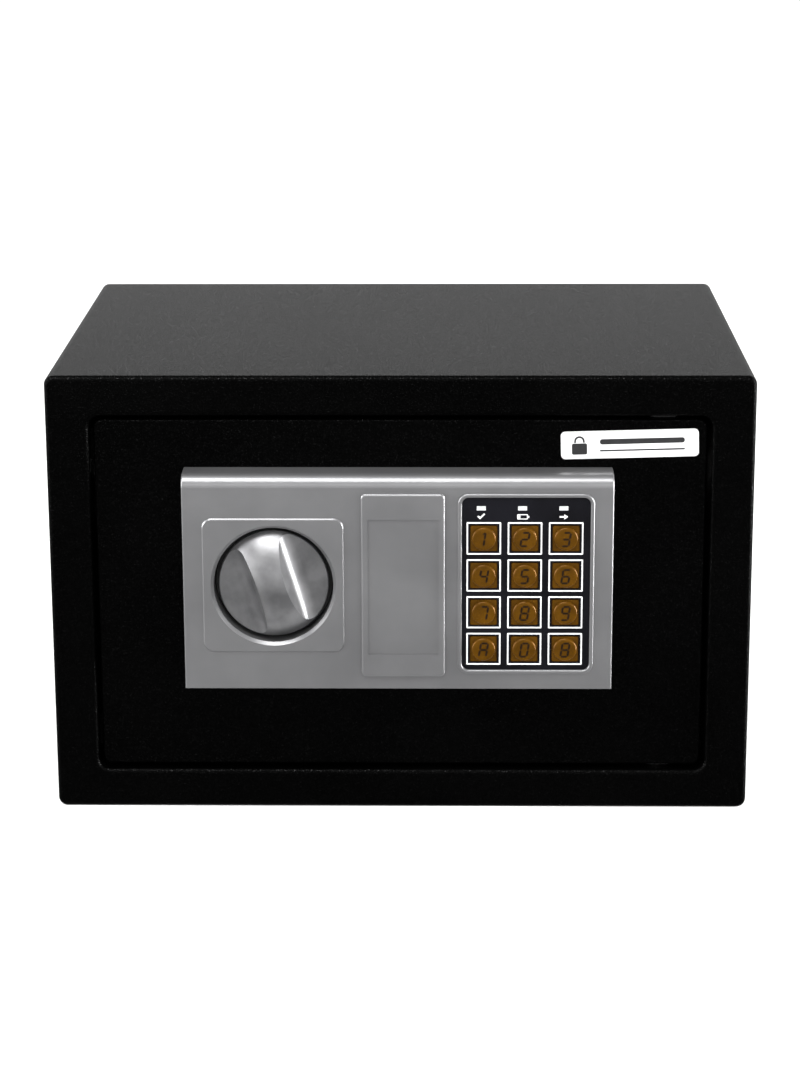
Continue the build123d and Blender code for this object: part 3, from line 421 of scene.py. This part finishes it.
# The seven bars of a digit, in half widths and half heights: two ends of each bar.
BARS = {"a": ((-1, 1), (1, 1)), "b": ((1, 1), (1, 0)), "c": ((1, 0), (1, -1)), "d": ((-1, -1), (1, -1)),
        "e": ((-1, 0), (-1, -1)), "f": ((-1, 1), (-1, 0)), "g": ((-1, 0), (1, 0))}
DIGITS = {"1": "bc", "2": "abged", "3": "abgcd", "4": "fgbc", "5": "afgcd", "6": "afgedc", "7": "abc",
          "8": "abcdefg", "9": "abcdfg", "0": "abcdef", "a": "abcefg", "b": "abcdefg"}
DIGIT_W, DIGIT_H, DIGIT_STROKE, DIGIT_SLANT = 3.1, 6.1, 0.85, 0.16
DIGIT_GAP = 0.14                 # how far each bar stops short of the next
ONE_OFFSET = 0.3                 # how far the figure one's stroke stands to the right of the middle
KEY_FRAME_W, KEY_FRAME_H, KEY_FRAME_R, KEY_FRAME_LINE = 15.0, 14.7, 0.4, 0.64
LAMP_HALF = 1.95                 # half a lamp lens's width
MARK_DROP = 2.9                  # how far the lamp marks are below the lenses


def digit_outlines(glyph, cx, cz):
    """Slanted seven-bar strokes with pointed ends."""
    outlines = []
    if glyph == "1":
        cx -= DIGIT_W / 2 - ONE_OFFSET
        top = DIGIT_H / 2
        flag = [(0.3, top - 1.2), (0.3, top - 0.75), (1.1, top),
                (1.5, top), (1.5, top - 0.6), (1.1, top - 0.65)]
        outlines.append([(cx + x + DIGIT_SLANT * z, cz + z) for x, z in flag])
    for bar in DIGITS[glyph]:
        (x0, z0), (x1, z1) = BARS[bar]
        start = Vector((x0 * DIGIT_W / 2, z0 * DIGIT_H / 2))
        end = Vector((x1 * DIGIT_W / 2, z1 * DIGIT_H / 2))
        along = (end - start).normalized()
        across = Vector((-along.y, along.x)) * DIGIT_STROKE / 2
        start += along * DIGIT_GAP
        end -= along * DIGIT_GAP
        tip = along * DIGIT_STROKE / 2
        corners = [start, start + tip + across, end - tip + across,
                   end, end - tip - across, start + tip - across]
        outlines.append([(cx + p.x + DIGIT_SLANT * p.y, cz + p.y) for p in corners])
    return outlines


def ring_pair(cx, cz, w, h, r, line):
    """The outer and inner outlines of a rounded frame whose line is this wide."""
    return rounded(cx, cz, w, h, r), rounded(cx, cz, w - 2 * line, h - 2 * line, max(r - line, 0.05))


def print_keypad():
    """White square frames and lamp marks on the film, and a dark digit on each key."""
    white = finish_material("white_ink", (0.62, 0.62, 0.62), (0.70, 0.70, 0.70), rough=(0.35, 0.45),
                            grain_mm=0.3, grain_depth_mm=0.005, cloud_mm=3.0)
    brown = finish_material("brown_ink", (0.008, 0.004, 0.001), (0.012, 0.006, 0.002), rough=(0.40, 0.50),
                            grain_mm=0.3, grain_depth_mm=0.005, cloud_mm=3.0, specular=0.08)
    film = box_mm("keypad_overlay")[2]
    frames = []
    for glyph in DIGITS:
        x0, x1, y0, _, z0, z1 = box_mm("key_" + glyph)
        cx, cz = (x0 + x1) / 2, (z0 + z1) / 2
        frames.append(ring_pair(cx, cz, KEY_FRAME_W, KEY_FRAME_H, KEY_FRAME_R, KEY_FRAME_LINE))
        ink("digit_" + glyph, y0, digit_outlines(glyph, cx, cz), brown, "key_" + glyph)
    ink("key_frames", film, [], white, "door", rings=frames)
    ink("lamp_marks", film, lamp_marks(), white, "door", rings=lamp_rings())


def lamp_centres():
    """The middles of the three lamps, and the height of the marks under them."""
    x0, x1, _, _, z0, _ = box_mm("indicator_lenses")
    return (x0 + LAMP_HALF, (x0 + x1) / 2, x1 - LAMP_HALF), z0 - MARK_DROP


def lamp_marks():
    """A tick, a low battery's charge and end cap, and an arrow."""
    (ready, low, go), z = lamp_centres()
    tick = [(-1.7, 0.1), (-1.2, 0.6), (-0.5, -0.1), (1.2, 1.6), (1.7, 1.1), (-0.5, -1.1)]
    arrow = [(-1.8, 0.35), (0.2, 0.35), (0.2, 1.2), (1.9, 0), (0.2, -1.2), (0.2, -0.35), (-1.8, -0.35)]
    return [[(ready + x, z + y) for x, y in tick], [(go + x, z + y) for x, y in arrow],
            rounded(low - 1.35, z, 0.8, 1.3, 0.05), rounded(low + 2.65, z, 0.5, 0.9, 0.05)]


def lamp_rings():
    """The battery's outline."""
    (_, low, _), z = lamp_centres()
    return [ring_pair(low, z, 4.6, 2.3, 0.3, 0.35)]


def arch(cx, cz, r, way, steps=10):
    """A half circle over its centre, from right to left if way is 1 and from left to right if it is -1."""
    return [(cx + way * r * math.cos(math.pi * i / steps), cz + r * math.sin(math.pi * i / steps))
            for i in range(steps + 1)]


PLATE_TILT = 1.5                 # degrees; the nameplate is stuck on a little askew
PADLOCK_LEFT = 22.0              # how far the padlock is to the left of the plate's middle
SHACKLE_OUT, SHACKLE_IN = 2.3, 1.5


def print_nameplate():
    """A padlock and plain bars in place of any name."""
    dark = finish_material("plate_ink", (0.010, 0.010, 0.011), (0.016, 0.016, 0.017), rough=(0.35, 0.45),
                           grain_mm=0.3, grain_depth_mm=0.01, cloud_mm=3.0)
    x0, x1, y0, _, z0, z1 = box_mm("nameplate")
    cx, cz = (x0 + x1) / 2, (z0 + z1) / 2
    left = cx - PADLOCK_LEFT
    shapes = [rounded(left, cz - 1.6, 6.6, 5.0, 0.7), rounded(cx + 5.4, cz + 1.4, 37.0, 2.4, 1.1),
              rounded(cx + 5.4, cz - 2.6, 37.0, 0.7, 0.3)]
    foot, bend = cz + 1.2, cz + 1.9
    shapes.append([(left + SHACKLE_OUT, foot)] + arch(left, bend, SHACKLE_OUT, 1)
                  + [(left - SHACKLE_OUT, foot), (left - SHACKLE_IN, foot)]
                  + arch(left, bend, SHACKLE_IN, -1) + [(left + SHACKLE_IN, foot)])
    shapes = [turned(points, cx, cz, PLATE_TILT) for points in shapes]
    ink("nameplate_print", y0, shapes, dark, "door")


# ================================================================ added pieces
AXES = {"x": (Vector((1, 0, 0)), Vector((0, 1, 0)), Vector((0, 0, 1))),
        "y": (Vector((0, 1, 0)), Vector((0, 0, 1)), Vector((1, 0, 0))),
        "z": (Vector((0, 0, 1)), Vector((1, 0, 0)), Vector((0, 1, 0)))}


def lathe(build, profile, spot, axis, steps=48):
    """Turns a closed outline of (radius, distance along the axis) points about the axis through spot."""
    along, across, up = AXES[axis]
    rings = []
    for step in range(steps):
        angle = math.tau * step / steps
        out = across * math.cos(angle) + up * math.sin(angle)
        rings.append([build.verts.new((Vector(spot) + out * radius + along * far) * MM)
                      for radius, far in profile])
    for here, there in zip(rings, rings[1:] + rings[:1]):
        for i in range(len(profile)):
            j = (i + 1) % len(profile)
            build.faces.new((here[i], here[j], there[j], there[i])).smooth = True


def add_piece(name, build, material, body, sharp_degrees=35):
    """Turns a bmesh into a piece that rides on a body, smooth except where its faces meet sharply."""
    bmesh.ops.recalc_face_normals(build, faces=build.faces)
    for edge in build.edges:
        if len(edge.link_faces) == 2 and edge.calc_face_angle() > math.radians(sharp_degrees):
            edge.smooth = False
    mesh = bpy.data.meshes.new(name)
    build.to_mesh(mesh)
    build.free()
    mesh.materials.append(material)
    piece = bpy.data.objects.new(name, mesh)
    bpy.context.scene.collection.objects.link(piece)
    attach(piece, body)
    return piece


def box_into(build, x0, x1, y0, y1, z0, z1):
    """A square block between two corners, in millimetres."""
    made = bmesh.ops.create_cube(build, size=1.0)
    centre = Vector(((x0 + x1) / 2, (y0 + y1) / 2, (z0 + z1) / 2)) * MM
    for vert in made["verts"]:
        x, y, z = vert.co
        vert.co = centre + Vector((x * (x1 - x0), y * (y1 - y0), z * (z1 - z0))) * MM


def tube_into(build, points, radius, sides=8):
    """A round wire along points given in millimetres, closed at both ends."""
    rings = []
    for i, point in enumerate(points):
        ahead = (points[min(i + 1, len(points) - 1)] - points[max(i - 1, 0)]).normalized()
        side = (side - ahead * side.dot(ahead)).normalized() if rings else ahead.orthogonal().normalized()
        up = ahead.cross(side)
        rings.append([build.verts.new((point + (side * math.cos(a) + up * math.sin(a)) * radius) * MM)
                      for a in [math.tau * k / sides for k in range(sides)]])
    for here, there in zip(rings, rings[1:]):
        for k in range(sides):
            j = (k + 1) % sides
            build.faces.new((here[k], here[j], there[j], there[k])).smooth = True
    build.faces.new(rings[0][::-1])
    build.faces.new(rings[-1])


WELL_FLOOR_UP = 4.0              # the well's floor stands this far in front of the door plate
# the dark washer that paints shade in the knob's well: its thickness, the chamfer at its edge, and its bore
# radius
SHADE_WASHER_T, SHADE_WASHER_EDGE, SHADE_WASHER_BORE = 1.6, 0.5, 6.3


def well_shade_washer(black):
    """A dark washer at the bottom of the knob's well, put there to paint the shade in the gap round the knob.
    """
    x0, x1, _, _, z0, z1 = box_mm("knob")
    floor = box_mm("door_plate")[2] - WELL_FLOOR_UP
    outer, inner = (x1 - x0) / 2 + 2.0, SHADE_WASHER_BORE
    build = bmesh.new()
    profile = [(inner, floor), (inner, floor - SHADE_WASHER_T), (outer - SHADE_WASHER_EDGE, floor - SHADE_WASHER_T),
               (outer, floor - 1.1), (outer, floor)]
    lathe(build, profile, ((x0 + x1) / 2, 0, (z0 + z1) / 2), "y", 64)
    add_piece("well_shade_washer", build, black, "door")


MAT_HOLE_R, MAT_HOLES = 8.0, ((-100.0, 40.0), (100.0, 40.0))     # the holes over the floor anchors
MAT_CORNER, MAT_STEP = 6.0, 3.5
MAT_RIPPLE, MAT_SINK = 0.16, 0.2                                  # unevenness, and room left for it


def mat_outline(spot, x0, x1, y0, y1):
    """Moves a spot of the mat on to the edge of a hole it is near, and inside the rounded corners."""
    for centre in MAT_HOLES:
        away = spot - Vector(centre)
        if abs(away.length - MAT_HOLE_R) < 0.55 * MAT_STEP:
            spot = Vector(centre) + away.normalized() * MAT_HOLE_R
    inner = Vector((min(max(spot.x, x0 + MAT_CORNER), x1 - MAT_CORNER),
                    min(max(spot.y, y0 + MAT_CORNER), y1 - MAT_CORNER)))
    if (spot - inner).length > MAT_CORNER:
        spot = inner + (spot - inner).normalized() * MAT_CORNER
    return spot


def felt_mat(cloth):
    """The mat on the cabinet's floor: slightly uneven felt with rounded corners and two punched holes."""
    x0, x1, y0, y1, z0, z1 = box_mm("floor_mat")
    nx, ny = round((x1 - x0) / MAT_STEP), round((y1 - y0) / MAT_STEP)
    build = bmesh.new()
    rows = []
    for j in range(ny + 1):
        row = []
        for i in range(nx + 1):
            spot = mat_outline(Vector((x0 + (x1 - x0) * i / nx, y0 + (y1 - y0) * j / ny)), x0, x1, y0, y1)
            wave = math.sin(spot.x / 17 + 0.6 * math.sin(spot.y / 23))
            ripple = MAT_RIPPLE * wave * math.sin(spot.y / 13 + spot.x / 61)
            row.append(build.verts.new((spot.x * MM, spot.y * MM, (z1 - MAT_SINK + ripple) * MM)))
        rows.append(row)
    for near, far in zip(rows, rows[1:]):
        for i in range(nx):
            middle = (near[i].co + near[i + 1].co + far[i].co + far[i + 1].co) / 4
            if all((middle.xy / MM - Vector(centre)).length > MAT_HOLE_R for centre in MAT_HOLES):
                build.faces.new((near[i], near[i + 1], far[i + 1], far[i])).smooth = True
    bmesh.ops.delete(build, geom=[v for v in build.verts if not v.link_faces], context="VERTS")
    bmesh.ops.remove_doubles(build, verts=build.verts, dist=0.2 * MM)
    bmesh.ops.dissolve_degenerate(build, edges=build.edges, dist=0.05 * MM)
    made = bmesh.ops.extrude_face_region(build, geom=list(build.faces))
    for vert in [g for g in made["geom"] if isinstance(g, bmesh.types.BMVert)]:
        vert.co.z = (z0 + 0.02) * MM
    mat = add_piece("felt_mat", build, cloth, "cabinet")
    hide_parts("floor_mat")


def solenoid_winding(copper, plastic):
    """The wound bobbin of the solenoid: two flanges with rows of wire between them."""
    x0, x1, y0, y1, z0, z1 = box_mm("solenoid_coil")
    spot = ((x0 + x1) / 2, (y0 + y1) / 2, 0)
    flange, core, bore, lip, wire = (x1 - x0) / 2, 4.0, 3.2, 1.5, 0.6
    bobbin = bmesh.new()
    lathe(bobbin, [(bore, z0), (flange, z0), (flange, z0 + lip), (core, z0 + lip), (core, z1 - lip),
                   (flange, z1 - lip), (flange, z1), (bore, z1)], spot, "z")
    add_piece("coil_bobbin", bobbin, plastic, "door")
    low, high = z0 + lip + 0.05, z1 - lip - 0.05
    turns = round((high - low) / wire)
    ridges = []
    for turn in range(turns):
        for part in range(4):
            angle = math.pi * part / 4
            ridges.append((flange - 1.2 + 0.5 * wire * math.sin(angle),
                           low + (high - low) * (turn + 0.5 - 0.5 * math.cos(angle)) / turns))
    winding = bmesh.new()
    lathe(winding, [(core + 0.05, low)] + ridges + [(core + 0.05, high)], spot, "z")
    piece = add_piece("coil_winding", winding, copper, "door", 80)
    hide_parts("solenoid_coil")


def cell_heights():
    """The heights of the four cells' axes."""
    _, _, y0, y1, z0, z1 = box_mm("batteries")
    radius = (y1 - y0) / 2
    return [z0 + radius + (z1 - z0 - 2 * radius) * i / 3 for i in range(4)]


CONTACT_HALF, CONTACT_T, SPRING_WIRE_R = 6, 0.5, 0.35
SPRING_TURNS, SPRING_STEPS = 3, 14               # turns, and straight steps in each
SPRING_WIDE, SPRING_NARROWING = 4.4, 1.9         # radius at the wide end, and how much less at the other


def conical_spring(build, start, end, y, z):
    """A conical spring along X, wide at its start and narrower at its end."""
    count = SPRING_TURNS * SPRING_STEPS
    points = []
    for k in range(count + 1):
        radius = SPRING_WIDE - SPRING_NARROWING * k / count
        angle = math.tau * SPRING_TURNS * k / count
        points.append(Vector((start + (end - start) * k / count,
                              y + radius * math.cos(angle), z + radius * math.sin(angle))))
    tube_into(build, points, SPRING_WIRE_R)


def spring_contacts(metal):
    """A conical spring at the flat end of each cell and a dimpled plate at the other."""
    x0, x1, y0, y1, _, _ = box_mm("battery_contacts")
    y = (y0 + y1) / 2
    cell0, cell1 = box_mm("batteries")[:2]
    build = bmesh.new()
    for i, z in enumerate(cell_heights()):
        sprung_left = i % 2 == 0
        for wall, sign, cell, sprung in ((x0, 1, cell0, sprung_left), (x1, -1, cell1, not sprung_left)):
            face = wall + sign * CONTACT_T
            box_into(build, min(wall, face), max(wall, face), y - CONTACT_HALF, y + CONTACT_HALF,
                     z - CONTACT_HALF, z + CONTACT_HALF)
            start, end = wall + sign * (CONTACT_T + SPRING_WIRE_R), cell - sign * (SPRING_WIRE_R + 0.1)
            if sprung:
                conical_spring(build, start, end, y, z)
            else:
                tip = end + sign * SPRING_WIRE_R
                lathe(build, [(0.3, face), (3.0, face), (2.2, face + sign * 1.2), (1.2, tip), (0.3, tip)],
                      (0, y, z), "x", 20)
    piece = add_piece("spring_contacts", build, metal, "door")
    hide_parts("battery_contacts")


BAND_FROM, BAND_TO, BAND_T = 2.0, 15.0, 0.05     # distances from the plus end, and thickness


def cell_bands(gold):
    """The band round the plus end of each cell's jacket."""
    x0, x1, y0, y1, _, _ = box_mm("batteries")
    y, radius = (y0 + y1) / 2, (y1 - y0) / 2
    build = bmesh.new()
    for i, z in enumerate(cell_heights()):
        start, end = (x1 - BAND_TO, x1 - BAND_FROM) if i % 2 == 0 else (x0 + BAND_FROM, x0 + BAND_TO)
        low, high = radius - 0.1, radius + BAND_T
        lathe(build, [(low, start), (high, start), (high, end), (low, end)], (0, y, z), "x")
    add_piece("cell_bands", build, gold, "door")


def back_welds(coat):
    """Rippled weld beads, painted over, where the back plate meets the wrap."""
    x0, x1, _, y1, z0, z1 = box_mm("cabinet_wrap")
    sheet, ripples, pitch, radius, height = 2.0, 9, 1.9, 1.7, 0.55
    beads = [(x, z, (1, 0)) for z in (z0 + sheet, z1 - sheet) for x in (-105, 0, 105)]
    beads += [(side, z, (0, 1)) for side in (x0 + sheet, x1 - sheet) for z in (55, 145)]
    build = bmesh.new()
    for x, z, (dx, dz) in beads:
        for k in range(ripples):
            off = (k - (ripples - 1) / 2) * pitch
            made = bmesh.ops.create_uvsphere(build, u_segments=12, v_segments=8, radius=1.0)
            wobble = 1 + 0.06 * math.sin(2.3 * k + x)
            for vert in made["verts"]:
                vert.co = Vector(((x + dx * off + vert.co.x * radius * wobble) * MM,
                                  (y1 + vert.co.y * height) * MM,
                                  (z + dz * off + vert.co.z * radius * wobble) * MM))
    for face in build.faces:
        face.smooth = True
    add_piece("back_welds", build, coat, "cabinet", 80)


def lid_arrow(pale):
    """An arrow on the battery lid, which shows the way it slides."""
    x0, x1, _, y1, z0, z1 = box_mm("battery_lid")
    face = y1 - 0.7
    cx, cz = (x0 + x1) / 2 + 6, (z0 + z1) / 2
    shape = [(-9, 0), (-4, 4), (-4, 1.4), (7, 1.4), (7, -1.4), (-4, -1.4), (-4, -4)]
    outline = [(cx + x, cz + z) for x, z in shape]
    ink("lid_arrow", face + PRINT_T, [outline], pale, "battery_lid")


# ================================================================ making it
add_camera()
add_world()
add_floor()
add_sun()
softbox("top_light", (-0.25, -0.70, 1.25), (0, -0.05, 0.1), (1.0, 0.45), 17)
softbox("left_light", (-1.4, -0.45, 0.45), (0, -0.1, 0.1), (0.6, 1.0), 18)
softbox("right_light", (1.3, -0.22, 0.15), (0, -0.1, 0.1), (0.4, 0.9), 56)
finishes = paint_nodes()
print_keypad()
print_nameplate()
# a dark washer that paints the shade in the gap round the knob
well_shade_washer(finishes["rubber_black"])
felt_mat(finishes["felt"])
solenoid_winding(finishes["copper_winding"], finishes["black_plastic"])
spring_contacts(finishes["zinc_steel"])
cell_bands(finishes["lock_brass"])
back_welds(finishes["black_powder_coat"])
lid_arrow(finishes["silicone"])
bpy.context.scene.view_settings.view_transform = "Standard"
